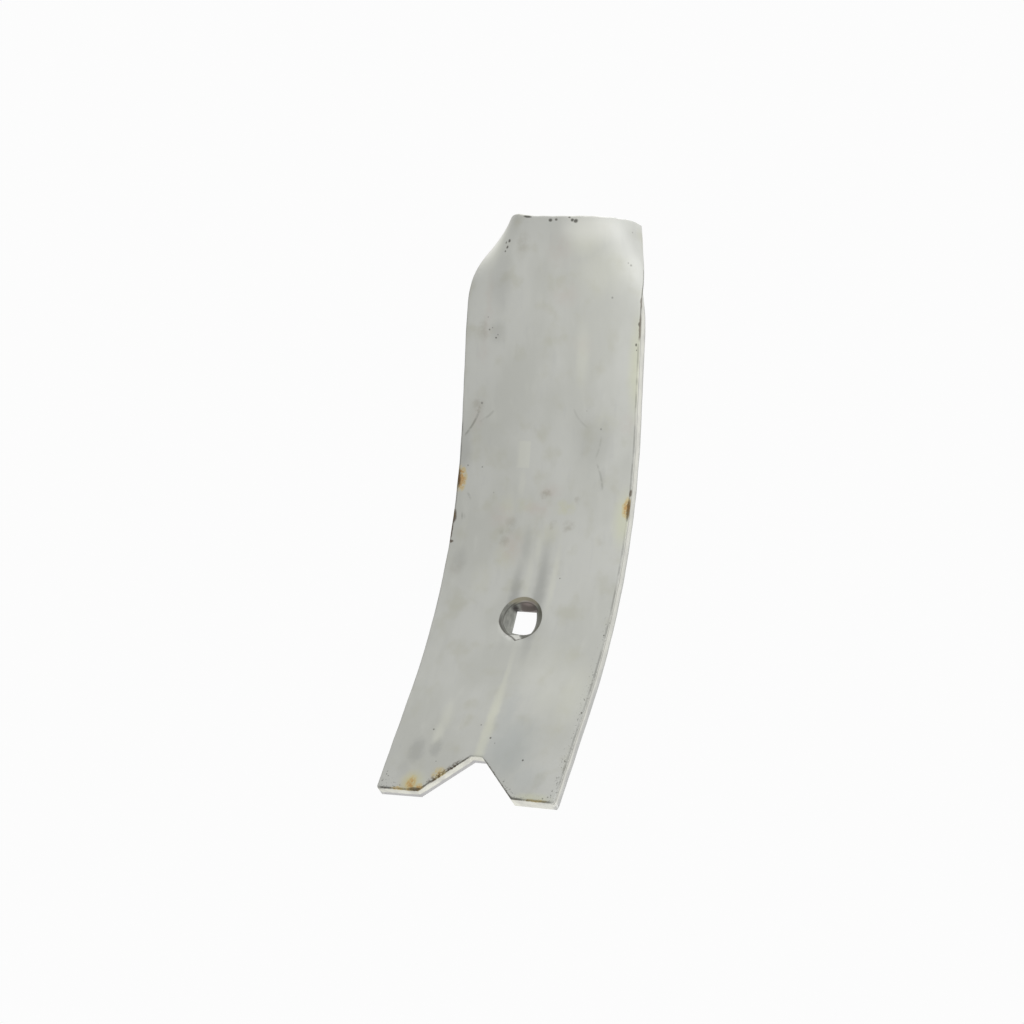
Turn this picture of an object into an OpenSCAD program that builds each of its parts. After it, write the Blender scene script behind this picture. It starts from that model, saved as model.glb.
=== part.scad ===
// Cultivator point: one piece of bent, painted flat steel that bolts to the foot of a tine.
// The lower end is cut into two feet by a notch, the length is bent in a long arc, the two top
// corners are rolled back, and a countersunk square hole takes a plough bolt.
//
// Millimetres. The origin is the middle of the bolt hole on the front face. -Y leaves the front
// face along the bolt, +Z runs up the plate at the hole, and X runs across the plate.

/* [Plate] */
// Width across the plate
plate_w = 100; // [88:1:130]
// Length of the plate from the feet to the top edge, measured along the front face
plate_len = 311.5; // [295:0.5:360]
// Thickness of the steel
plate_t = 7; // [5:0.5:9]
// Rounding of the two outer corners of the feet
foot_round = 2; // [1:0.5:4]
// Rounding of the two top corners
top_round = 1.5; // [0.5:0.5:4]

/* [Long bend] */
// Length of the straight stretch above the feet
foot_straight = 58; // [50:1:65]
// Length of the bent stretch above it
bend_len = 146; // [110:1:150]
// Radius of the bend at the front face
bend_radius = 243; // [200:1:500]

/* [Crease] */
// How far the outer edges lie behind the crest of the crease at the feet
crease_drop = 1; // [0.4:0.1:2.5]

/* [Notch] */
// Width of each foot at its end
foot_w = 23.8; // [16:0.2:32]
// Width of the flat at the inner end of the notch
notch_flat = 6.4; // [3:0.2:12]
// Depth of the notch along the plate
notch_depth = 22; // [12:0.5:40]

/* [Rolled top corners] */
// Distance along the top edge from the middle to where the roll starts
roll_start = 19.8; // [14:0.2:26]
// Distance down each side edge from the top to where the roll starts
roll_drop = 50.6; // [42:0.2:62]
// How far the line where the roll starts bows in toward the middle of the plate
roll_bow = 3; // [0:0.2:5]
// Distance over which the roll sets in, on either side of that line
roll_ease = 6; // [2:0.5:8]
// Radius of the roll at the front face
roll_radius = 18.4; // [14:0.1:24]
// Turn of the top edge about the length of the plate, the left corner going back
twist_angle = 11; // [2:0.5:14]
// Length of the stretch below the top edge over which the turn grows
twist_len = 35; // [24:1:50]

/* [Bolt hole] */
// Distance of the hole from the end of the feet, measured along the front face
hole_up = 102; // [92:1:112]
// Side of the square neck of the bolt
bolt_neck = 12; // [8:0.5:16]
// Gap left around the neck of the bolt, all of it on one side
neck_clearance = 0.8; // [0.2:0.1:1.5]
// Diameter of the head of the bolt, which ends flush with the front face
bolt_head = 24; // [22:0.5:32]
// Full angle of the cone under the head
sink_angle = 90; // [80:1:100]

/* [Colour] */
// Colour of the paint
paint_colour = "#BCBEB8";

/* [Hidden] */
half_w = plate_w / 2;
neck_hole = bolt_neck + neck_clearance;
sink_r = bolt_head / 2;
sink_depth = sink_r / tan(sink_angle / 2);

// The crease dies out at the lower edge of the countersink.
crease_len = hole_up - sink_r;

// Angle of the front face at the lower end of the arc, seen from the middle of the bolt hole.
foot_turn = (hole_up - foot_straight) / bend_radius * 180 / PI;

// Direction across the line at which each top corner starts to roll, and the length of that line.
roll_dir = atan((half_w - roll_start) / roll_drop);
roll_line = norm([half_w - roll_start, roll_drop]);

// Where the roll first shows on the top edge and on the side edges.
roll_in = roll_start - roll_ease / cos(roll_dir);
roll_low = plate_len - roll_drop - roll_ease / sin(roll_dir);

// Space left round a cutter so that it passes clean through a face.
clear = 1;
notch_reach = plate_t + crease_drop + 4 * clear;

// Columns of the surface, finer where the corners roll.
roll_columns = 17;
flat_column = roll_in / 2;
half_columns = [
    for (i = [0 : roll_columns]) roll_in + (half_w - roll_in) * i / roll_columns
];
columns = concat(
    [for (i = [roll_columns : -1 : 0]) -half_columns[i]],
    [-flat_column, 0, flat_column],
    half_columns
);

// Rows of the surface, from the feet to the top edge.
foot_rows = 4;
arc_rows = 24;
roll_rows = 25;
corner_steps = 4;
arc_end = foot_straight + bend_len;
rows = concat(
    [for (i = [0 : corner_steps]) foot_round * (1 - cos(90 * i / corner_steps))],
    [for (i = [1 : foot_rows]) foot_round + (foot_straight - foot_round) * i / foot_rows],
    [for (i = [1 : arc_rows]) foot_straight + bend_len * i / arc_rows],
    [for (i = [0 : roll_rows]) roll_low + (plate_len - top_round - roll_low) * i / roll_rows],
    [for (i = [1 : corner_steps]) plate_len - top_round * (1 - sin(90 * i / corner_steps))]
);

last_column = len(columns) - 1;
last_row = len(rows) - 1;
sheet_size = len(columns) * len(rows);

// Half of the width of the blank at a distance s from the feet, with the outer corners rounded.
function blank_half(s) =
    s < foot_round ? half_w - foot_round + sqrt(foot_round ^ 2 - (foot_round - s) ^ 2) :
    s > plate_len - top_round
        ? half_w - top_round + sqrt(max(0, top_round ^ 2 - (s - plate_len + top_round) ^ 2))
        : half_w;

// Angle of the front face at a distance s from the feet, nought at the bolt hole.
function turn_at(s) =
    (min(max(s, foot_straight), arc_end) - hole_up) / bend_radius * 180 / PI;

// Place of a point x across, s along and d behind the front face of the long bend.
function bent(x, s, d) =
    let (
        a = turn_at(s),
        run = s < foot_straight ? s - foot_straight : max(0, s - arc_end)
    )
    [
        x,
        -bend_radius * (1 - cos(a)) - run * sin(a) + d * cos(a),
        bend_radius * sin(a) + run * cos(a) + d * sin(a)
    ];

// The same point after the top edge has been turned about the length of the plate.
function twisted(x, s, d) =
    let (
        grown = min(max((s - plate_len + twist_len) / twist_len, 0), 1),
        t = twist_angle * grown ^ 2 * (3 - 2 * grown)
    )
    bent(x * cos(t) + d * sin(t), s, d * cos(t) - x * sin(t));

// The same point after the crease has been set into the lower end.
function creased(x, s, d) =
    twisted(x, s, d + crease_drop * abs(x) / half_w * max(0, 1 - s / crease_len));

// How much of a distance past the line of the roll has been rolled, where it sets in slowly.
function eased(past) =
    past < -roll_ease ? 0 :
    past > roll_ease ? past : (past + roll_ease) ^ 2 / (4 * roll_ease);

// The same point after its top corner has been rolled back.
function formed(x, s, d) =
    let (
        side = x < 0 ? -1 : 1,
        out = abs(x) - roll_start,
        up = s - plate_len,
        w = min(max((out * sin(roll_dir) - up * cos(roll_dir)) / roll_line, 0), 1),
        bow = 4 * roll_bow * w * (1 - w),
        past = eased(out * cos(roll_dir) + up * sin(roll_dir) + bow),
        t = past / roll_radius * 180 / PI,
        shift = roll_radius * sin(t) - past - d * sin(t)
    )
    creased(
        side * (abs(x) + shift * cos(roll_dir)),
        s + shift * sin(roll_dir),
        roll_radius * (1 - cos(t)) + d * cos(t)
    );

// One face of the plate as a sheet of points, d behind the front face.
function sheet(d) = [
    for (s = rows)
        for (x = columns)
            formed(x * blank_half(s) / half_w, s, d)
];

function at(i, j, back) = j * len(columns) + i + (back ? sheet_size : 0);

// Two triangles of a face, split along the line that stays straight in the roll.
function cell(i, j, back) =
    let (
        a = at(i, j, back),
        b = at(i, j + 1, back),
        c = at(i + 1, j + 1, back),
        d = at(i + 1, j, back),
        left = i < last_column / 2,
        pair = left ? [[a, b, c], [a, c, d]] : [[a, b, d], [b, c, d]]
    )
    back ? [for (f = pair) [f[2], f[1], f[0]]] : pair;

// The rim of the plate, once round, and the faces that close its thickness.
rim = concat(
    [for (i = [0 : last_column - 1]) [i, 0]],
    [for (j = [0 : last_row - 1]) [last_column, j]],
    [for (i = [last_column : -1 : 1]) [i, last_row]],
    [for (j = [last_row : -1 : 1]) [0, j]]
);

function rim_faces() = [
    for (k = [0 : len(rim) - 1])
        let (
            p = rim[k],
            q = rim[(k + 1) % len(rim)],
            a = at(p[0], p[1], false),
            b = at(q[0], q[1], false),
            c = at(q[0], q[1], true),
            d = at(p[0], p[1], true)
        )
        each [[a, b, c], [a, c, d]]
];

module formed_plate() {
    polyhedron(
        points = concat(sheet(0), sheet(plate_t)),
        faces = concat(
            [for (j = [0 : last_row - 1]) for (i = [0 : last_column - 1]) each cell(i, j, false)],
            [for (j = [0 : last_row - 1]) for (i = [0 : last_column - 1]) each cell(i, j, true)],
            rim_faces()
        ),
        convexity = 8
    );
}

// The notch is sheared square to the straight stretch above the feet.
module notch() {
    slope = (half_w - foot_w - notch_flat / 2) / notch_depth;
    mouth = half_w - foot_w + slope * clear;
    foot = bent(0, 0, 0);
    translate(foot)
        rotate([-foot_turn, 0, 0])
            rotate([90, 0, 0])
                translate([0, 0, -notch_reach])
                    linear_extrude(height = notch_reach + 4 * clear)
                        polygon([
                            [-mouth, -clear],
                            [mouth, -clear],
                            [notch_flat / 2, notch_depth],
                            [-notch_flat / 2, notch_depth]
                        ]);
}

// The cone runs on inside the square, so that it passes clean through the back face.
module bolt_hole() {
    mouth_r = sink_r * (sink_depth + clear) / sink_depth;
    translate([0, -clear, 0])
        rotate([-90, 0, 0])
            cylinder(h = sink_depth + clear, r1 = mouth_r, r2 = 0, $fn = 96);
    translate([-neck_hole / 2, -clear, -neck_hole / 2])
        cube([neck_hole, plate_t + 3 * clear, neck_hole]);
}

module point() {
    color(paint_colour)
        difference() {
            formed_plate();
            notch();
            bolt_hole();
        }
}

point();
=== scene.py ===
import math
import bmesh
import bpy
from mathutils import Matrix, Vector, noise


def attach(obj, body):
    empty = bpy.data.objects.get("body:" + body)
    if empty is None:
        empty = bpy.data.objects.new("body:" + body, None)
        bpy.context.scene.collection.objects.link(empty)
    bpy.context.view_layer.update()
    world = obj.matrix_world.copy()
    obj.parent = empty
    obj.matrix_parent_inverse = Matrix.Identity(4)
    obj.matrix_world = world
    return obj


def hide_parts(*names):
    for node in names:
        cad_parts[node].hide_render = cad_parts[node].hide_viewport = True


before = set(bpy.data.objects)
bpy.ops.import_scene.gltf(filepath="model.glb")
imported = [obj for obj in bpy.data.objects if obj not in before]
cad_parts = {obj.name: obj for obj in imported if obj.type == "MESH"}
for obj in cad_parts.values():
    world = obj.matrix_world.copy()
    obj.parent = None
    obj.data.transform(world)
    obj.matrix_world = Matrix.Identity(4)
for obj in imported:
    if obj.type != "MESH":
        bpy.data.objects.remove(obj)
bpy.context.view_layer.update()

# The point: one plate of flat steel, sheared to length with a notch between two feet, countersunk
# and punched square for its bolt, bent in a long arc, rolled back at both top corners and given a
# thin coat of grey paint. It is worked here as the flat blank first and formed last.
bm = bmesh.new()
half_w, column = 50.0, 2.0  # in millimetres, like every size of the blank
columns = round(half_w / column)
across = [column * i for i in range(-columns, columns + 1)]
length, notch_deep = 311.5, 22.0
hole_up, opening = 102.0, 16.0  # the bolt hole, and half the square left open for its rim
stops = ((0.0, 11), (notch_deep, 32), (hole_up - opening, 16), (hole_up + opening, 62),
         (258.0, 30), (length, 1))
along = [start + (end - start) * i / rows
         for (start, rows), (end, _) in zip(stops, stops[1:]) for i in range(rows)] + [length]
nx, ny = len(across) - 1, len(along) - 1
bmesh.ops.create_grid(bm, x_segments=nx, y_segments=ny, size=1.0)
notch_in, foot_in = 3.2, 26.2  # half the notch's width at its inner end and at the feet
slant = foot_in - notch_in
beside_notch, spread_to = 4.0, 42.0
place = {}
for v in bm.verts:
    i, j = round((v.co.x + 1) / 2 * nx), round((v.co.y + 1) / 2 * ny)
    place[v] = (i, j)
    x, s = across[i], along[j]
    # The columns beside the middle are spread out at the feet, to run along the sheared notch.
    if s < notch_deep:
        edge = notch_in + slant * (notch_deep - s) / notch_deep
    else:
        widen = (s - notch_deep) / (spread_to - notch_deep)
        edge = min(beside_notch, notch_in + (beside_notch - notch_in) * widen)
    a = abs(x)
    if a >= beside_notch:
        a = edge + (a - beside_notch) * (half_w - edge) / (half_w - beside_notch)
    else:
        a = a * edge / beside_notch
    v.co = (math.copysign(a, x), 0, s)
gone = []
for f in bm.faces:
    i, j = (sum(place[v][k] for v in f.verts) / 4 for k in range(2))
    a, s = abs(across[0] + column * i), along[int(j)]
    if a < beside_notch and s < notch_deep:
        gone.append(f)
    elif a < opening and hole_up - opening <= s < hole_up + opening:
        gone.append(f)
bmesh.ops.delete(bm, geom=gone, context="FACES")

# The countersink: its rim is a circle set into the square left open in the sheet. Each ring is
# bridged from in front of the sheet and then moved back into it.
sink_r, ring_r, ring_out = 12.0, 13.4, 9.0
mouth = [e for e in bm.edges if e.is_boundary and all(
    abs(v.co.x) < opening + 1 and abs(v.co.z - hole_up) < opening + 1 for v in e.verts)]
upright = Matrix.Rotation(math.radians(-90), 4, "X")
upright = Matrix.Translation((0, -ring_out, hole_up)) @ upright
for radius in (ring_r, sink_r):
    ring = bmesh.ops.create_circle(bm, cap_ends=False, segments=64, radius=radius,
                                   matrix=upright)["verts"]
    loop = list(dict.fromkeys(e for v in ring for e in v.link_edges))
    bmesh.ops.bridge_loops(bm, edges=mouth + loop)
    bmesh.ops.translate(bm, verts=ring, vec=(0, ring_out, 0))
    mouth = loop
bmesh.ops.recalc_face_normals(bm, faces=bm.faces)
if sum(f.normal.y for f in bm.faces) > 0:
    bmesh.ops.reverse_faces(bm, faces=bm.faces)

# The thickness, and the walls of the hole: a cone from the front, and the square under it.
thick, half_square, back_ring_r = 7.0, 6.4, 11.0
grown = bmesh.ops.extrude_face_region(bm, geom=list(bm.faces), use_keep_orig=True)["geom"]
grown = [g for g in grown if isinstance(g, bmesh.types.BMVert)]
bmesh.ops.translate(bm, verts=grown, vec=(0, thick, 0))
bmesh.ops.recalc_face_normals(bm, faces=bm.faces)
walls = [e for e in bm.edges if abs(e.verts[0].co.y - e.verts[1].co.y) > thick - 1
         and math.hypot(e.verts[0].co.x, e.verts[0].co.z - hole_up) < sink_r + 0.1]
bmesh.ops.subdivide_edges(bm, edges=walls, cuts=1)
for v in bm.verts:
    c, s = v.co.x, v.co.z - hole_up
    r = math.hypot(c, s)
    if r < sink_r + 0.1 and v.co.y > 1:
        reach = half_square * r / max(abs(c), abs(s))
        v.co.x, v.co.z = c / r * reach, hole_up + s / r * reach
        if v.co.y < thick - 1:
            v.co.y = sink_r - reach
    elif r < ring_r + 0.2 and v.co.y > 1:
        v.co.x, v.co.z = c / r * back_ring_r, hole_up + s / r * back_ring_r

# The outer corners are rounded first, then every edge of the outline is eased.
foot_round, top_round, ease = 1.7, 0.4, 0.75
corners = [e for e in bm.edges if all(abs(v.co.x) > half_w - 0.1 for v in e.verts)
           and abs(e.verts[0].co.y - e.verts[1].co.y) > thick - 1
           and not 0.1 <= e.verts[0].co.z <= length - 0.1]
for at_top, radius in ((False, foot_round), (True, top_round)):
    pair = [e for e in corners if e.is_valid and (e.verts[0].co.z > hole_up) == at_top]
    bmesh.ops.bevel(bm, geom=pair, offset=radius, segments=4, profile=0.5, affect="EDGES",
                    material=-1)
sharp, clear_of_hole = 1.2, 20.0
outline = [e for e in bm.edges if len(e.link_faces) == 2 and e.calc_face_angle(0) > sharp
           and math.hypot(e.verts[0].co.x, e.verts[0].co.z - hole_up) > clear_of_hole
           and abs(e.verts[0].co.y - e.verts[1].co.y) < 1]
bmesh.ops.bevel(bm, geom=outline, offset=ease, segments=3, profile=0.5, affect="EDGES",
                material=-1)
bmesh.ops.triangulate(bm, faces=[f for f in bm.faces if len(f.verts) > 4])


def share(value):
    """The value, kept between nought and one."""
    return min(max(value, 0), 1)


# Each place on the blank is kept with the plate, with how far it lies inside the sheared outline,
# so that paint, scuffs and rust follow the steel round its bends.
blank = bm.verts.layers.float_vector.new("blank")
inside = bm.verts.layers.float.new("inside")
for v in bm.verts:
    x, d, s = v.co
    a = abs(x)
    up_cut = share(((foot_in - a) * slant + s * notch_deep) / (slant ** 2 + notch_deep ** 2))
    cuts = [half_w - a, length - s,
            math.hypot(a - foot_in + slant * up_cut, s - notch_deep * up_cut),
            math.hypot(max(a - notch_in, 0), s - notch_deep)]
    if a > foot_in - 0.2:
        cuts.append(s)
    v[blank] = (x, d, s)
    v[inside] = max(0, min(cuts))

# Forming: the sheared edges are a little uneven, the top corners roll back about slanting lines,
# the top edge is turned, the crease is set in, and the whole is bent in an arc.
roll_start, roll_drop, roll_bow, roll_ease, roll_r = 19.8, 50.6, 3.0, 6.0, 18.4
lean = math.atan((half_w - roll_start) / roll_drop)
roll_line = math.hypot(half_w - roll_start, roll_drop)
crease_deep, crease_len = 1.0, hole_up - sink_r
twist, twist_len = math.radians(11), 35.0
bend_from, bend_to, bend_r = 58.0, 204.0, 243.0
side_rough, top_rough, margin = 0.22, 0.3, 10.0
left_long, right_long, long_from, rough_from = 1.5, 1.3, 300.0, 304.0
dip_left, dip_right, point = 1.7, 1.25, 0.35
for v in bm.verts:
    x, d, s = v.co
    if abs(x) > half_w - margin:
        rough = max(0, 0.4 + noise.noise((x, s * 0.09, 3.0)))
        x -= math.copysign(side_rough, x) * rough * (abs(x) - half_w + margin) / margin
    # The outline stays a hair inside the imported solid's.
    d, s = min(d, thick - 0.01), max(s, 0.02)
    if s > long_from:
        # The top edge was cut a little long beside the left roll and at the right corner.
        extra = left_long * max(0, 1 - ((x + 31) / 18) ** 2) ** 2
        extra += right_long * share((x - 36) / 9)
        s += extra * (s - long_from) / (length - long_from)
    if s > rough_from and abs(x) < half_w - margin:
        s -= top_rough * (0.5 + noise.noise((x * 0.16, 5.0, 1.0))) * (s - rough_from) / 8

    if d < 0.5 and s < hole_up and math.hypot(x, s - hole_up) < sink_r + 0.1:
        # The crease runs into the rim of the hole, which is drawn down to a point there and dips
        # beside it, more on the left. The turn is in degrees from the lowest place.
        turn = math.degrees(math.atan2(x, hole_up - s))
        dip = dip_left if turn < 0 else dip_right
        turn = abs(turn)
        dip = dip * min(turn / 18, 1) * share((78 - turn) / 45) - point * max(0, 1 - turn / 9)
        kept = 1 - dip / sink_r
        x, s, d = x * kept, hole_up + (s - hole_up) * kept, max(0, dip)

    # The roll of the top corners.
    side = -1 if x < 0 else 1
    w = share(((abs(x) - roll_start) * math.sin(lean) + (length - s) * math.cos(lean)) / roll_line)
    past = (abs(x) - roll_start) * math.cos(lean) + (s - length) * math.sin(lean)
    past += 4 * roll_bow * w * (1 - w)
    if past < -roll_ease:
        past = 0
    elif past <= roll_ease:
        past = (past + roll_ease) ** 2 / (4 * roll_ease)
    t = past / roll_r
    shift = roll_r * math.sin(t) - past - d * math.sin(t)
    x = side * (abs(x) + shift * math.cos(lean))
    s += shift * math.sin(lean)
    d = roll_r * (1 - math.cos(t)) + d * math.cos(t)

    # The crease, the turn of the top edge, and the long bend.
    d += crease_deep * abs(x) / half_w * max(0, 1 - s / crease_len)
    t = share((s - length + twist_len) / twist_len)
    t = twist * t * t * (3 - 2 * t)
    x, d = x * math.cos(t) + d * math.sin(t), d * math.cos(t) - x * math.sin(t)
    a = (min(max(s, bend_from), bend_to) - hole_up) / bend_r
    run = s - bend_from if s < bend_from else max(0, s - bend_to)
    y = -bend_r * (1 - math.cos(a)) - run * math.sin(a) + d * math.cos(a)
    z = bend_r * math.sin(a) + run * math.cos(a) + d * math.sin(a)
    v.co = Vector((x, y, z)) * 0.001
bmesh.ops.recalc_face_normals(bm, faces=bm.faces)
mesh = bpy.data.meshes.new("plate")
bm.to_mesh(mesh)
bm.free()
mesh.shade_smooth()
mesh.set_sharp_from_angle(angle=math.radians(38))
plate = bpy.data.objects.new("plate", mesh)
bpy.context.scene.collection.objects.link(plate)
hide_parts("point")
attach(plate, "root")

# The coat on it: thin satin grey paint that has gone greenish and blotchy, rubbed in streaks above
# and below the bolt hole, chipped to dark steel along the edges, with rust where it is bare.
paint = bpy.data.materials.new("painted steel")
paint.use_nodes = True
tree = paint.node_tree
shader = tree.nodes["Principled BSDF"]


class Mark:
    """A value in the coat, which sums and multiplies with others."""

    def __init__(self, socket):
        self.socket = socket

    @staticmethod
    def node(kind, inputs=(), out=0, **facts):
        n = tree.nodes.new(kind)
        for key, value in facts.items():
            setattr(n, key, value)
        for key, value in dict(inputs).items():
            value = value.socket if isinstance(value, Mark) else value
            if isinstance(value, bpy.types.NodeSocket):
                tree.links.new(value, n.inputs[key])
            else:
                n.inputs[key].default_value = value
        return Mark(n.outputs[out])

    @staticmethod
    def do(what, a, b=0.0):
        return Mark.node("ShaderNodeMath", {0: a, 1: b}, operation=what)

    def __add__(self, other):
        return Mark.do("ADD", self, other)

    def __sub__(self, other):
        return Mark.do("SUBTRACT", self, other)

    def __mul__(self, other):
        return Mark.do("MULTIPLY", self, other)

    def __rsub__(self, other):
        return Mark.do("SUBTRACT", other, self)

    def __abs__(self):
        return Mark.do("ABSOLUTE", self)

    __radd__ = __add__
    __rmul__ = __mul__

    def ramp(self, start, end):
        """Nought at start and one at end, smoothly."""
        return Mark.node("ShaderNodeMapRange", {"Value": self, "From Min": start, "From Max": end},
                         interpolation_type="SMOOTHSTEP")

    def top(self, other):
        """The stronger of the two."""
        return Mark.do("MAXIMUM", self, other)


# The place on the blank: x across it, d into its thickness and s up it from the feet.
where = Mark.node("ShaderNodeAttribute", out="Vector", attribute_name="blank")
rim = Mark.node("ShaderNodeAttribute", out="Fac", attribute_name="inside")
parts = Mark.node("ShaderNodeSeparateXYZ", {0: where}).socket.node
x, d, s = (Mark(parts.outputs[k]) for k in range(3))


def vector(what, a, b=(0, 0, 0), c=(0, 0, 0), out=0):
    return Mark.node("ShaderNodeVectorMath", {0: a, 1: b, 2: c}, out, operation=what)


def cloud(size, detail=3.0, rough=0.5, seed=0.0, stretch=1.0, out=0):
    """Soft noise over the blank, size in millimetres, drawn out along the plate by stretch."""
    at = vector("MULTIPLY_ADD", where, (1.0, 1.0, 1.0 / stretch), (seed, seed * 1.7, seed * 0.3))
    return Mark.node("ShaderNodeTexNoise", {"Vector": at, "Scale": 1.0 / size, "Detail": detail,
                                            "Roughness": rough}, out)


# Ragged outlines for every mark come from one shift of its place, taken more or less strongly.
stray = vector("SUBTRACT", cloud(5, detail=6.0, rough=0.62, seed=9.0, out=1), (0.5, 0.5, 0.5))
moved = {0.0: where}


def spot(cx, cs, rx, rs, much=1.0, soft=0.6, rag=0.0):
    """One mark on the blank: full in the middle and gone at its radius."""
    if rag not in moved:
        moved[rag] = vector("MULTIPLY_ADD", stray, (rag, rag, rag), where)
    far = vector("MULTIPLY_ADD", moved[rag], (1 / rx, 0, 1 / rs), (-cx / rx, 0, -cs / rs))
    far = vector("LENGTH", far, out="Value")
    return Mark.node("ShaderNodeMapRange", {"Value": far, "From Min": 1.0, "From Max": 1.0 - soft,
                                            "To Max": much}, interpolation_type="SMOOTHSTEP")


def spots(marks, soft=0.6, rag=0.0):
    """Several such marks: each its place across and up, its two radii and how strong it is."""
    found = spot(*marks[0], soft=soft, rag=rag)
    for mark in marks[1:]:
        found = found.top(spot(*mark, soft=soft, rag=rag))
    return found


def blend(under, over, amount):
    return Mark.node("ShaderNodeMix", {"Factor": amount, 6: under, 7: over}, out=2,
                     data_type="RGBA")


def rgb(r, g, b):
    """A colour as it is read off a screen, from 0 to 255."""
    linear = (((v / 255 + 0.055) / 1.055) ** 2.4 if v > 10 else v / 255 / 12.92 for v in (r, g, b))
    return (*linear, 1.0)


front = d.ramp(1.3, 0.7)
colour = blend(rgb(184, 185, 179), rgb(192, 193, 188),
               cloud(34, seed=2.0, stretch=1.6).ramp(0.38, 0.62))
colour = blend(colour, rgb(178, 178, 166),
               cloud(13, detail=4.0, seed=7.0).ramp(0.5, 0.75) * 0.65)
colour = blend(colour, rgb(198, 199, 193),
               cloud(7, detail=4.0, seed=12.0, stretch=2.5).ramp(0.52, 0.78) * 0.35)
colour = blend(colour, rgb(173, 174, 173),
               cloud(3.5, detail=4.0, seed=13.0, stretch=4.0).ramp(0.56, 0.78) * 0.2)

# Streaks along the plate: pale where the coat is rubbed, dark where grease has run from the bolt.
# At the rolled top corners some pale spots are painted highlight and one dark spot painted shade.
crest = spot(1.1, 34, 4.3, 47, soft=0.75, rag=3.0) * s.ramp(92, 75)
bar = x.ramp(-17.5, -14) * x.ramp(-8.7, -9.4) * abs(s - 188.5).ramp(7.4, 6.4)
# Painted highlight: the broad pale spots at (19, 301), (28, 285) and (-42, 299) light the rolled
# top corners.
rubbed_and_highlight = spots((
    (-25.4, 34, 4.6, 12, 0.75), (-24.2, 44, 5.4, 13, 0.55), (40, 62, 14, 28, 0.5),
    (1.2, 74, 2.4, 20, 0.35), (13.8, 124, 2.8, 27, 0.55), (-0.4, 124, 3.0, 22, 0.4),
    (-12.2, 174, 3.2, 10, 0.35), (18, 240, 6, 24, 0.5), (24, 74, 26, 24, 0.3),
    (28, 60, 13, 17, 0.35), (-18, 160, 6, 14, 0.3), (19, 301, 18, 16, 0.9),
    (28, 285, 22, 19, 0.5), (-42, 299, 14, 20, 0.95), (2, 140, 3.0, 11, 0.45)),
    soft=0.85, rag=2.4)
rubbed_and_highlight = rubbed_and_highlight.top(bar * 0.5) * front
colour = blend(colour, rgb(211, 212, 199), rubbed_and_highlight * 0.6)
colour = blend(colour, rgb(209, 210, 193), crest * front * 0.6)
# Painted highlight: the bright reflection along the rolled top left corner and the sheen on the
# rolled top right corner.
painted_sheen = spots(((-46, 300, 13, 17, 0.8), (19, 306, 24, 12, 0.45)), soft=0.9)
colour = blend(colour, rgb(232, 232, 227), painted_sheen * front)
# Dark where grease has run. The spot at (43, 298) is painted shade that dims the highlight on the
# rolled top right corner.
grease_and_shade = spots((
    (-6.6, 110, 4.7, 29, 1.0), (7.2, 112, 5.2, 43, 0.95), (-5, 142, 4.0, 13, 0.4),
    (32, 204, 5, 7, 0.4), (-31, 251, 7, 9, 0.4), (-42, 132, 6, 9, 0.4), (-31, 280, 9, 26, 0.45),
    (33, 178, 2.6, 9, 0.3), (-47, 190, 6, 17, 0.6), (43, 298, 8, 18, 0.3)), soft=0.8, rag=3.0)
grease_and_shade = grease_and_shade.top(spots((
    (-34.5, 22.5, 6.4, 10, 0.65), (-24.2, 25.5, 4.6, 7.2, 0.65), (-38, 12, 5, 7, 0.25),
    (27, 199, 18, 21, 0.3)), soft=0.75, rag=7.0))
colour = blend(colour, rgb(146, 147, 144), grease_and_shade * front * 0.62)
bluish = spots(((16, 28, 21, 27, 0.42), (9, 40, 7, 34, 0.3), (30, 12, 16, 13, 0.25)),
               soft=0.85, rag=9.0)
colour = blend(colour, rgb(157, 163, 164), bluish * front)

# Faint stains, yellow, pinkish and brown, and a yellow cast at the right edge and on the feet.
patchy = cloud(4, detail=5.0, rough=0.6, seed=14.0).ramp(0.3, 0.56)
stains = (
    (rgb(187, 187, 161), 0.6, (
        (14, 162, 8, 5, 0.9), (-9, 162, 8, 6, 0.6), (-16, 135, 9, 11, 0.6), (33, 207, 11, 9, 0.3),
        (7, 148, 8, 8, 0.5), (-27, 122, 9, 14, 0.3), (-20, 162, 8, 7, 0.4))),
    (rgb(186, 177, 170), 0.6, (
        (-2, 161, 11, 6, 0.8), (5, 170, 9, 6, 0.7), (-13, 140, 9, 12, 0.8), (-22, 156, 10, 9, 0.6),
        (45, 206, 6, 8, 0.5), (-37, 260, 3.5, 34, 0.4), (-39, 240, 5, 7, 0.5),
        (7, 271, 12, 9, 0.5), (17, 246, 9, 8, 0.3), (3, 294, 12, 12, 0.5), (-41, 206, 5, 9, 0.5))),
    (rgb(120, 110, 88), 0.45, (
        (2.5, 168.5, 4.2, 3, 0.8), (8, 152.5, 2.6, 4.2, 0.6), (17.5, 152, 4.4, 4.4, 0.7),
        (-16, 152, 3.8, 6, 0.6), (-18, 143, 3.8, 4, 0.6), (-21, 148, 3, 3, 0.4),
        (20, 166, 2.4, 2.4, 0.5), (-40.8, 213.5, 4.6, 5.4, 0.6), (-39.8, 210.6, 2.4, 2.2, 0.8),
        (-20, 296, 6, 10, 0.4), (-43, 127, 6, 7, 0.3), (-39, 252, 4, 9, 0.5))))
for tint, much, marks in stains:
    stain = spots(marks, soft=0.95, rag=8.0) * (patchy * 0.8 + 0.2)
    colour = blend(colour, tint, stain * front * much)
yellow = spots(((50, 235, 8, 36, 0.6), (48, 158, 9, 20, 0.7), (-30, 5, 10, 9, 0.6),
                (38, 1.5, 14, 4, 0.6)), soft=0.8, rag=3.0)
colour = blend(colour, rgb(197, 199, 176), yellow * front)
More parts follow.
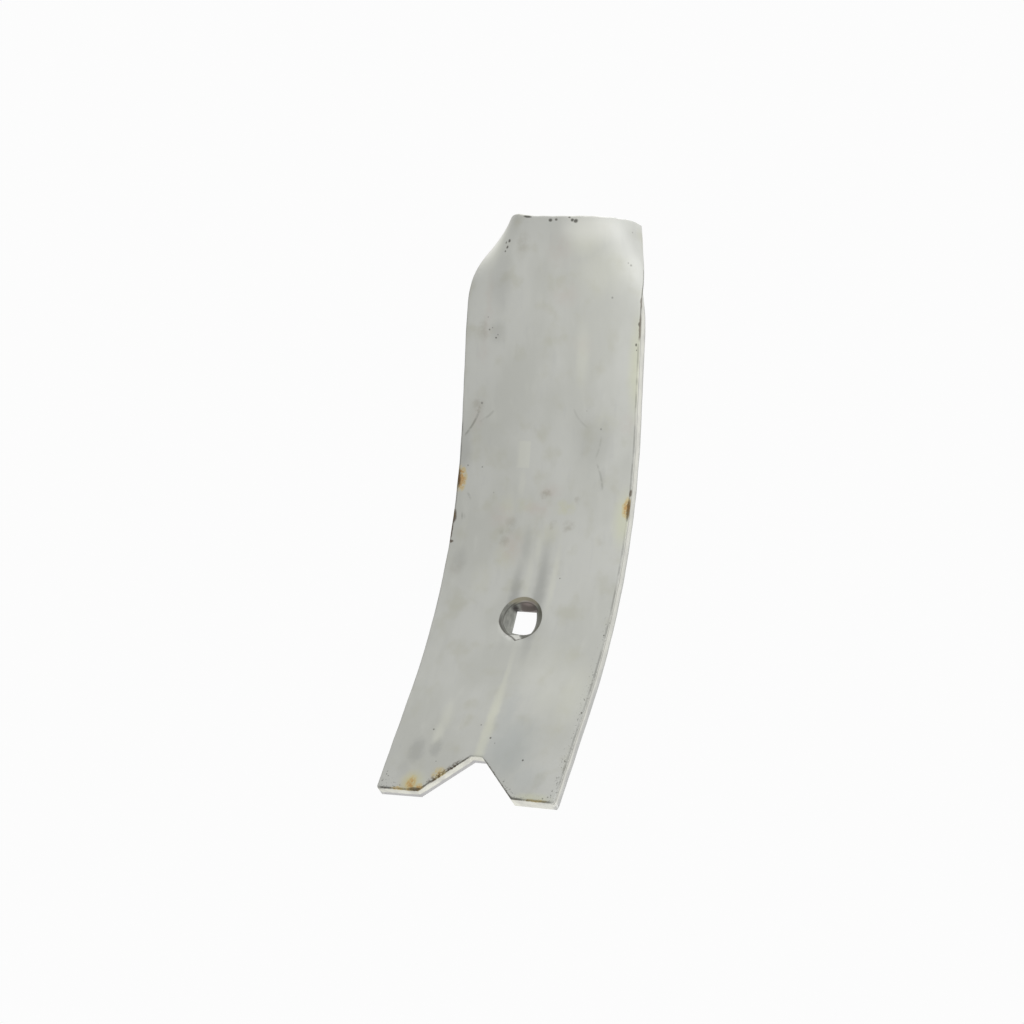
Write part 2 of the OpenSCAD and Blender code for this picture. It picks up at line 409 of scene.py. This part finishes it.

# The sheared faces of the thickness: creamy near the front, greyer and rougher toward the back,
# and darkest along the back edge of the feet. Their pale cream is partly painted light, standing
# for the strong light the side and end faces catch.
sheared = d.ramp(0.3, 0.8) * d.ramp(7.0, 6.6) * rim.ramp(0.7, 0.3)
off_sides = abs(x).ramp(49, 47)
feet = s.ramp(26, 24) * off_sides
sides = 1.0 - feet
uneven = cloud(6, detail=4.0, seed=20.0)
cream_and_light = blend(rgb(212, 211, 200), rgb(192, 191, 183), uneven.ramp(0.42, 0.66))
cream_and_light = blend(cream_and_light, rgb(190, 190, 185), x.ramp(30, 45) * 0.45)
cream_and_light = blend(cream_and_light, rgb(150, 149, 152),
              (d + uneven).ramp(4.1, 5.3) * feet * x.ramp(26, 16) * 0.85)
cream_and_light = blend(cream_and_light, rgb(84, 82, 78), d.ramp(6.3, 6.8) * feet * 0.6)
cream_and_light = blend(cream_and_light, rgb(138, 138, 131),
              abs(d + uneven * 0.6 - 1.6).ramp(0.6, 0.1) * sides * 0.75)
cream_and_light = blend(cream_and_light, rgb(160, 160, 156), (d + uneven * 1.2).ramp(5.5, 6.4) * sides * 0.75)
cream_and_light = blend(cream_and_light, rgb(158, 158, 157),
              (d + uneven).ramp(3.2, 4.6) * sides * s.ramp(95, 60) * 0.7)
colour = blend(colour, cream_and_light, sheared * 0.95)

# Dark steel where the coat has worn off the front edge, pits knocked through it, and scratches.
front_edge = (rim - 0.3 * s.ramp(4, 1)).ramp(0.8, 0.3) * d.ramp(0.8, 0.3)
broken = cloud(8, detail=4.0, seed=21.0).ramp(0.4, 0.58)
bare = s.ramp(26, 22) * off_sides * (0.85 - 0.35 * x.ramp(2, 8) * s.ramp(3, 8))
bare = bare * (1.0 - spot(1.5, 22.5, 5, 4, soft=0.4))
bare = bare.top(spots(((-50, 174, 4, 44, 0.75), (50, 268, 6, 26, 0.75), (-50, 274, 5, 26, 0.5)),
                      soft=0.4))
bare = bare.top(x.ramp(-30, -45) * 0.3)
worn = front_edge * (broken * 0.65 + 0.35) * bare
right_line = rim.ramp(1.4, 0.6) * d.ramp(0.5, 0.15) * x.ramp(40, 47)
right_line = right_line * s.ramp(262, 240) * s.ramp(5, 12)
left_line = rim.ramp(1.3, 0.7) * x.ramp(-40, -47) * s.ramp(140, 150) * s.ramp(208, 200)
worn = worn.top(right_line * (broken * 0.3 + 0.22)).top(left_line * (broken * 0.3 + 0.3))
pits = spots((
    (-19.2, 310.7, 3.5, 0.8, 1), (-4.2, 309.3, 1.6, 1.2, 1), (-0.4, 309.5, 1.2, 0.9, 0.9),
    (10.0, 309.4, 1.4, 1.1, 1), (12.2, 308.8, 1.9, 1.4, 1), (8.0, 310.8, 1.0, 0.5, 0.9),
    (-29.2, 298.4, 1.0, 1.2, 1), (-31.2, 297.4, 0.7, 0.9, 0.8), (-29.6, 295.0, 0.8, 1.1, 1),
    (-30.4, 292.8, 0.6, 0.8, 0.9), (48.2, 246.5, 0.7, 1.1, 1), (48.5, 243.8, 0.4, 0.5, 0.9),
    (49.2, 257, 0.5, 1.4, 0.8)), soft=0.6, rag=0.8)
round_pits = (  # across, up, radius and how dark
    (-36, 252, 0.6, 0.8), (-32, 248, 0.65, 0.9), (-31, 249.6, 0.45, 0.9), (-34.2, 253, 0.45, 0.8),
    (-37, 258.5, 0.5, 0.5), (4.2, 33.3, 0.75, 1), (25.8, 22.3, 0.75, 1), (7.5, 30.5, 0.45, 0.7),
    (-29, 35.7, 0.7, 0.8), (-3.4, 40.3, 0.55, 0.7), (43, 287, 0.8, 0.5), (41.6, 288, 0.5, 0.5),
    (33.5, 270, 0.8, 0.5), (17.2, 125, 0.5, 0.8), (48.9, 52, 0.8, 1), (48.4, 24, 0.6, 1),
    (48.8, 96, 0.6, 1), (48.6, 74, 0.45, 1), (-36, 181, 0.6, 0.6), (-44.5, 181.5, 0.6, 0.7),
    (-46.6, 8, 0.5, 0.8), (-21.5, 17.5, 0.4, 0.8), (30.4, 203, 0.8, 0.5), (-28, 168, 0.5, 0.4),
    (22, 212, 0.4, 0.4), (44, 305, 0.6, 0.4), (-38.6, 214, 0.9, 0.6))
pits = pits.top(spots(tuple((cx, cs, r, r, much) for cx, cs, r, much in round_pits),
                      soft=0.7, rag=0.8))
speckled = x.ramp(44, 48.5) * s.ramp(120, 90) * 0.8 + rim.ramp(4.5, 1) * s.ramp(16, 8)
speckled = (speckled + spot(-45, 5, 7, 7)).ramp(0, 1)
speckle = cloud(1.2, detail=2.0, seed=22.0).ramp(0.6, 0.68) * 0.7 * speckled
dark = worn.top(pits).top(speckle) * front
colour = blend(colour, rgb(56, 54, 45), dark * 0.85)
scratches = x * 0.0
for cx, cs, to_x, to_s, curve, much in (  # from, to, how bowed and how strong
        (-39.5, 211, -48.5, 196, 0.9, 1.0), (-30, 212, -40, 204, 0.8, 0.45),
        (-44, 168, -40.5, 163, 0.4, 0.7), (29, 186, 34, 171, 0.7, 0.5),
        (-45, 158, -44.2, 152, 0.0, 0.7), (-43.6, 157, -43, 153, 0.0, 0.5),
        (24, 203, 14, 214, 1.5, 0.3), (31, 200, 28, 187, 0.5, 0.3)):
    far = math.hypot(to_x - cx, to_s - cs)
    ex, es = (to_x - cx) / far, (to_s - cs) / far
    run = (x - cx) * ex + (s - cs) * es
    off = (s - cs) * ex - (x - cx) * es - run * (far - run) * (4 * curve / far ** 2)
    line = abs(off).ramp(0.95, 0.05) * run.ramp(0, 3.0) * run.ramp(far, far - 3.0)
    scratches = scratches.top(line * much)
scratches = scratches * cloud(3.5, seed=23.0).ramp(0.3, 0.5)
colour = blend(colour, rgb(98, 99, 88), scratches * front * 0.5)

# Rust, orange where it has run and brown where it is thick, on the front and its edges only.
grain = cloud(1.6, detail=5.0, rough=0.7, seed=31.0)
rust = spots((
    (-47.8, 174.5, 4.8, 9, 1), (-50, 155, 2.2, 4.0, 0.6), (48.6, 163.5, 3.6, 7.5, 0.95),
    (-31, 3.5, 4.3, 7.2, 0.85), (-26, 2.0, 3.0, 3.5, 0.8), (-38, 0.5, 6, 1.8, 0.6),
    (40, 0.6, 11, 1.4, 0.35), (-17, 10.5, 6.5, 5.5, 0.55)), soft=1.0, rag=3.0)
rust = rust * grain.ramp(0.3, 0.58) * front
burnt = rim.ramp(3.2, 0.7) * x.ramp(-24, -20) * x.ramp(-6, -10)
burnt = burnt * s.ramp(30, 26) * grain.ramp(0.46, 0.54)
left_cut = rim.ramp(0.8, 0.3) * x.ramp(-26, -24) * x.ramp(-3, -6) * s.ramp(30, 26)
burnt = burnt.top(left_cut * grain.ramp(0.46, 0.56) * 0.7)
both_cuts = rim.ramp(1.1, 0.5) * s.ramp(24, 16) * off_sides
burnt = burnt.top(both_cuts * grain.ramp(0.5, 0.6) * 0.7)
burnt = burnt.top(spots((
    (-49.8, 174.5, 2.5, 6.5, 1), (-49.6, 154.5, 2.2, 4.8, 1), (-50, 147, 1.3, 7, 1),
    (-48.8, 141.4, 1.9, 1.1, 1), (49.6, 163, 1.2, 7, 0.9), (49.8, 171, 0.8, 2.5, 0.9),
    (49.8, 255, 0.7, 8, 0.7), (49.8, 268, 0.6, 4, 0.6), (-28, 0.8, 5, 1.4, 0.9)),
    soft=0.5, rag=2.4)) * front
haze = spots(((-32, 4, 8, 10, 0.8), (-17, 11, 7, 6, 0.35)), soft=1.0, rag=5.0) * front
colour = blend(colour, rgb(194, 180, 124), haze * 0.6)
colour = blend(colour, rgb(200, 180, 118), rust.ramp(0.03, 0.3) * 0.6)
colour = blend(colour, rgb(178, 128, 58), rust.ramp(0.25, 0.7) * 0.7)
colour = blend(colour, rgb(70, 54, 34), burnt * 0.82)

# The walls of the bolt hole: worn grey steel, browner at the top, with painted shade and painted
# highlights.
up = s - hole_up
below = 0.0 - up
from_hole = Mark.do("SQRT", x * x + up * up)
hole = from_hole.ramp(12.2, 11.9).top(d.ramp(0.12, 0.3) * from_hole.ramp(12.9, 12.6))
hole = hole * from_hole.ramp(13.2, 13.0) * d.ramp(6.98, 6.9)
drawn = vector("MULTIPLY", where, (0.9, 0.9, 0.25))
streaky = Mark.node("ShaderNodeTexNoise", {"Vector": drawn, "Scale": 1.0, "Detail": 3.0})
steel_light_and_shade = blend(rgb(116, 117, 111), rgb(138, 139, 132), streaky.ramp(0.36, 0.62))
steel_light_and_shade = blend(steel_light_and_shade, rgb(150, 151, 145), x.ramp(-8.4, -6.8) * 0.4)
steel_light_and_shade = blend(steel_light_and_shade, rgb(150, 145, 126), up.ramp(7, 10) * from_hole.ramp(9.6, 10.4))
# Painted highlight: pale and pinkish bands near the top of the rim.
steel_light_and_shade = blend(steel_light_and_shade, rgb(178, 172, 166),
              abs(from_hole - 10.2).ramp(0.6, 0.2) * up.ramp(8, 9.5) * x.ramp(-4, -1) * 0.7)
# Painted shade: the upper wall, which faces down, darker pinkish brown.
steel_light_and_shade = blend(steel_light_and_shade, rgb(84, 74, 70),
              up.ramp(4.5, 6.4) * from_hole.ramp(10.2, 9.6) * x.ramp(-5, -2) * 0.9)
steel_light_and_shade = blend(steel_light_and_shade, rgb(146, 134, 130), spot(2, 111.4, 6, 1.5, soft=0.8, rag=1.2) * 0.7)
# Painted shade: black in the upper left corner of the square.
steel_light_and_shade = blend(steel_light_and_shade, rgb(40, 36, 32), spot(-5.6, 108.6, 2.6, 2.6, soft=0.8, rag=1.6))
steel_light_and_shade = blend(steel_light_and_shade, rgb(84, 84, 68), x.ramp(6, 9.5) * 0.8)
# Painted highlight on the lower wall of the cone, which faces up to the light.
slope = below - 11.9
lit = (slope + 0.55 * x + 6.0).ramp(0, 0.8) * (slope - 1.1 * x + 4.2).ramp(0, 1.0)
steel_light_and_shade = blend(steel_light_and_shade, rgb(206, 206, 200), lit * below.ramp(5.5, 6.6))
# Painted shade on the lower right of the cone wall.
shaded = (1.1 * x - slope - 4.2).ramp(0, 1.0) * below.ramp(5.5, 7.5) * x.ramp(10, 6)
steel_light_and_shade = blend(steel_light_and_shade, rgb(70, 69, 58), shaded * 0.7)
scored = abs(from_hole - 10.5).ramp(0.4, 0.1) * x.ramp(-3, -7) * 0.8
scored = scored.top(abs(from_hole - 11.5).ramp(1.0, 0.3) * below.ramp(-4, 3) * x.ramp(8, 0))
scored = scored.top(abs(from_hole - 9.9).ramp(0.4, 0.1) * up.ramp(6, 8) * 0.7)
steel_light_and_shade = blend(steel_light_and_shade, rgb(56, 54, 46), scored * 0.8)
colour = blend(colour, steel_light_and_shade, hole)

shader.inputs["Metallic"].default_value = 0.0
shader.inputs["Specular IOR Level"].default_value = 0.5
tree.links.new(colour.socket, shader.inputs["Base Color"])
roughness = 0.4 + (cloud(9, detail=4.0, seed=51.0) - 0.5) * 0.2
roughness = roughness + dark * 0.25 + rust * 0.3 + burnt * 0.3 - rubbed_and_highlight * 0.06 + hole * 0.15
tree.links.new(roughness.socket, shader.inputs["Roughness"])
height = cloud(16, detail=2.0, seed=61.0) * 1.4 + cloud(2.0, detail=3.0, seed=62.0) * 0.1
height = height + rust * grain * 0.4 - dark * 0.5 - scratches * 0.3
bump = Mark.node("ShaderNodeBump", {"Strength": 0.25, "Distance": 0.0006, "Height": height})
tree.links.new(bump.socket, shader.inputs["Normal"])
mesh.materials.append(paint)

# The picture: the plate hangs by its bolt hole in front of plain white, in soft even light with a
# little more from the upper right. The camera's place was found from the plate's outline.
camera = bpy.data.cameras.new("camera")
camera.lens, camera.sensor_width = 140.625, 36
camera.shift_x, camera.shift_y = 0.04805, -0.01777
camera.clip_end = 50
right, down, ahead = Matrix(((0.88352, 0.40774, 0.23052), (0.04506, 0.41589, -0.9083),
                             (-0.46622, 0.81288, 0.34908)))
facing = Matrix((right, -down, -ahead)).transposed()
eye = bpy.data.objects.new("camera", camera)
eye.matrix_world = Matrix.Translation((0.91892, -1.69061, -0.65855)) @ facing.to_4x4()
bpy.context.scene.collection.objects.link(eye)
bpy.context.scene.camera = eye

# Each lamp: the way to it as the camera sees it, how far off, how wide and how strong.
aim = Vector((0, -0.02, 0.05))
for name, way, far, size, power in (
        ("key", (0.088, 0.135, 0.22), 0.273, 0.2, 0.44),
        ("top", (0.036, 0.677, -0.133), 0.69, 0.4, 2.9),
        ("low", (0.0, -1.0, 0.0), 0.9, 0.6, 4.4),
        ("right", (1.0, -0.7, -0.3), 0.8, 0.5, 2.6)):
    lamp = bpy.data.lights.new(name, "AREA")
    lamp.shape, lamp.size, lamp.energy = "DISK", size, power
    holder = bpy.data.objects.new(name, lamp)
    out = (facing @ Vector(way)).normalized()
    pointed = out.to_track_quat("Z", "Y").to_matrix().to_4x4()
    holder.matrix_world = Matrix.Translation(aim + out * far) @ pointed
    holder.visible_camera = False
    bpy.context.scene.collection.objects.link(holder)

world = bpy.data.worlds.new("white room")
bpy.context.scene.world = world
world.use_nodes = True
sky = world.node_tree
room = sky.nodes["Background"]
room.inputs["Color"].default_value = (1.0, 1.0, 0.985, 1)
room.inputs["Strength"].default_value = 0.5
backdrop = sky.nodes.new("ShaderNodeBackground")
backdrop.inputs["Color"].default_value = (0.975, 0.975, 0.975, 1)
path = sky.nodes.new("ShaderNodeLightPath")
seen = path.outputs["Is Camera Ray"]
for ray in ("Is Glossy Ray", "Is Transmission Ray"):
    either = sky.nodes.new("ShaderNodeMath")
    either.operation = "MAXIMUM"
    sky.links.new(seen, either.inputs[0])
    sky.links.new(path.outputs[ray], either.inputs[1])
    seen = either.outputs[0]
pick = sky.nodes.new("ShaderNodeMixShader")
for number, socket in enumerate((seen, room.outputs[0], backdrop.outputs[0])):
    sky.links.new(socket, pick.inputs[number])
sky.links.new(pick.outputs[0], sky.nodes["World Output"].inputs["Surface"])
bpy.context.scene.view_settings.view_transform = "Standard"
